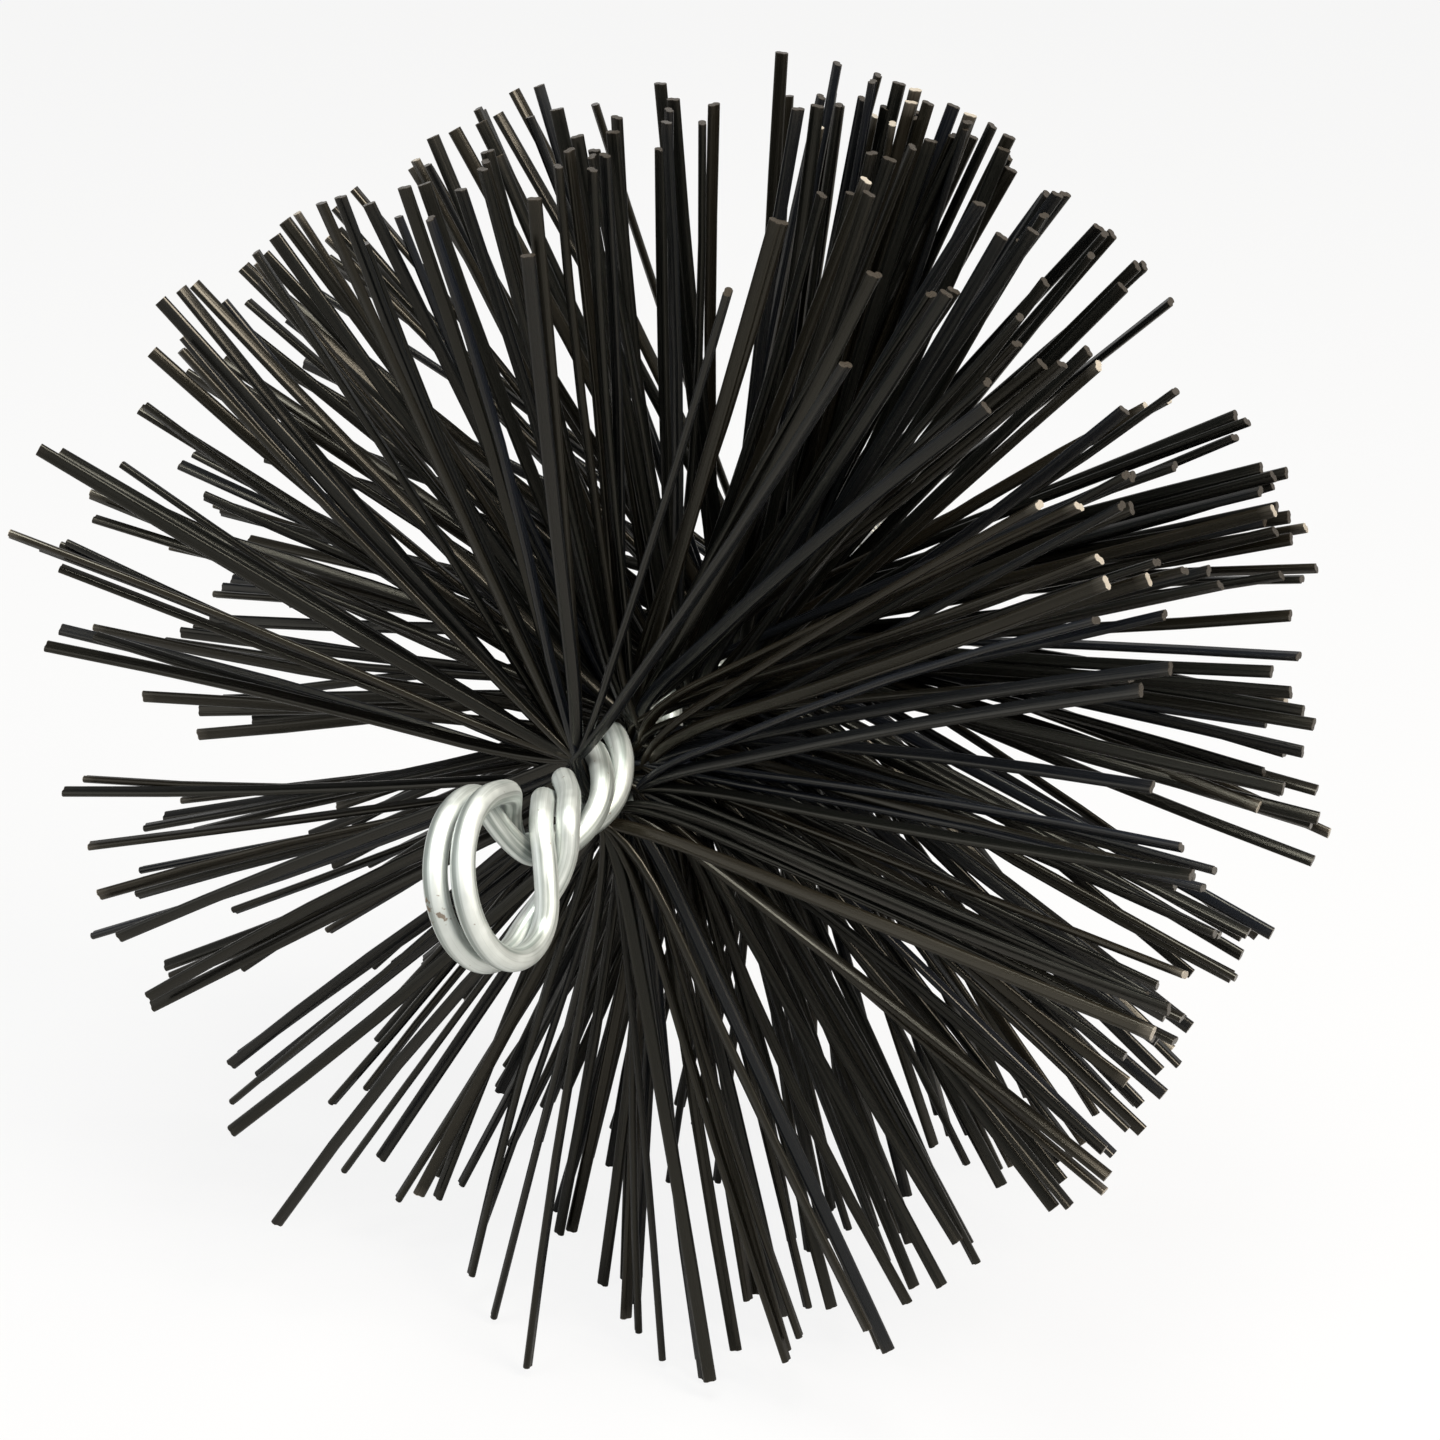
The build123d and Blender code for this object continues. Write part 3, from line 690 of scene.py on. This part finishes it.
def studio_floor():
    """Matt floor that the camera sees nearly white and a reflection a little paler than it is. It
    keeps the brush's soft shadow."""
    white_seen = 0.88
    white_reflected = 0.15
    half_size = 4.0
    material, tree, surface = new_material("Matt white floor")
    surface.inputs["Base Color"].default_value = linear("#b0b0b0")
    surface.inputs["Roughness"].default_value = 0.9
    path = add_node(tree, "ShaderNodeLightPath")
    reflected = add_node(tree, "ShaderNodeMath", {
        0: path.outputs["Is Glossy Ray"], 1: white_reflected}, operation="MULTIPLY")
    share = add_node(tree, "ShaderNodeMath", {
        0: path.outputs["Is Camera Ray"], 1: white_seen, 2: reflected}, operation="MULTIPLY_ADD")
    glow = add_node(tree, "ShaderNodeEmission", {"Color": (1, 1, 1, 1), "Strength": 1.0})
    mixed = add_node(tree, "ShaderNodeMixShader", {0: share, 1: surface, 2: glow})
    tree.links.new(mixed.outputs[0], tree.nodes["Material Output"].inputs["Surface"])
    mesh = bpy.data.meshes.new("floor")
    corners = [(x * half_size, y * half_size, floor_height)
               for x, y in ((-1, -1), (1, -1), (1, 1), (-1, 1))]
    mesh.from_pydata(corners, [], [(0, 1, 2, 3)])
    mesh.materials.append(material)
    floor = bpy.data.objects.new("floor", mesh)
    bpy.context.scene.collection.objects.link(floor)


def toward(azimuth, elevation):
    """Unit vector from the brush to a viewer. Azimuth 0 looks along +Y."""
    return Vector((sin(azimuth) * cos(elevation), -cos(azimuth) * cos(elevation), sin(elevation)))


def softbox(name, azimuth, elevation, distance, size, power, colour):
    """A square area lamp that faces the middle of the bristles. Angles are in degrees."""
    lamp = bpy.data.lights.new(name, "AREA")
    lamp.energy = power
    lamp.size = size
    lamp.color = linear(colour)[:3]
    holder = bpy.data.objects.new(name, lamp)
    bpy.context.scene.collection.objects.link(holder)
    away = toward(radians(azimuth), radians(elevation))
    holder.location = field_middle + away * distance
    holder.rotation_euler = away.to_track_quat("Z", "Y").to_euler()


def studio_world():
    """White surroundings under a dim ceiling, at half strength for the light that they shed."""
    shed = 0.5
    ceiling_strength = 0.2
    dims_from, dims_to = 0.05, 0.65    # height above the horizon, 1 overhead
    world = bpy.data.worlds.new("Studio")
    bpy.context.scene.world = world
    world.use_nodes = True
    tree = world.node_tree
    path = add_node(tree, "ShaderNodeLightPath")
    seen = add_node(tree, "ShaderNodeMath", {
        0: path.outputs["Is Camera Ray"], 1: path.outputs["Is Glossy Ray"]}, operation="MAXIMUM")
    strength = add_node(tree, "ShaderNodeMapRange", {"Value": seen, "To Min": shed, "To Max": 1.0})
    height = add_node(tree, "ShaderNodeSeparateXYZ", {
        0: add_node(tree, "ShaderNodeTexCoord").outputs["Generated"]}).outputs["Z"]
    ceiling = add_node(tree, "ShaderNodeMapRange", {
        "Value": height, "From Min": dims_from, "From Max": dims_to,
        "To Min": 1.0, "To Max": ceiling_strength})
    dimmed = add_node(tree, "ShaderNodeMath", {0: strength, 1: ceiling}, operation="MULTIPLY")
    tree.links.new(dimmed.outputs[0], tree.nodes["Background"].inputs["Strength"])
    tree.nodes["Background"].inputs["Color"].default_value = (1, 1, 1, 1)


studio_floor()
studio_world()
softbox("Key", azimuth=78, elevation=48, distance=0.9, size=0.4, power=14, colour="#fff4e7")
softbox("Top", azimuth=15, elevation=78, distance=0.9, size=0.4, power=11, colour="#f8f8f2")
softbox("Fill", azimuth=-35, elevation=30, distance=1.0, size=0.8, power=3, colour="#ffffff")

back = toward(photo_azimuth, photo_elevation)
right = Vector((cos(photo_azimuth), sin(photo_azimuth), 0))
up = back.cross(right)
camera_data = bpy.data.cameras.new("Camera")
camera_data.lens = lens_length
camera = bpy.data.objects.new("Camera", camera_data)
bpy.context.scene.collection.objects.link(camera)
camera.location = field_middle + back * camera_distance
aim = field_middle + right * aim_right - up * aim_down
camera.rotation_euler = (aim - camera.location).to_track_quat("-Z", "Y").to_euler()
bpy.context.scene.camera = camera
bpy.context.scene.view_settings.view_transform = "Standard"
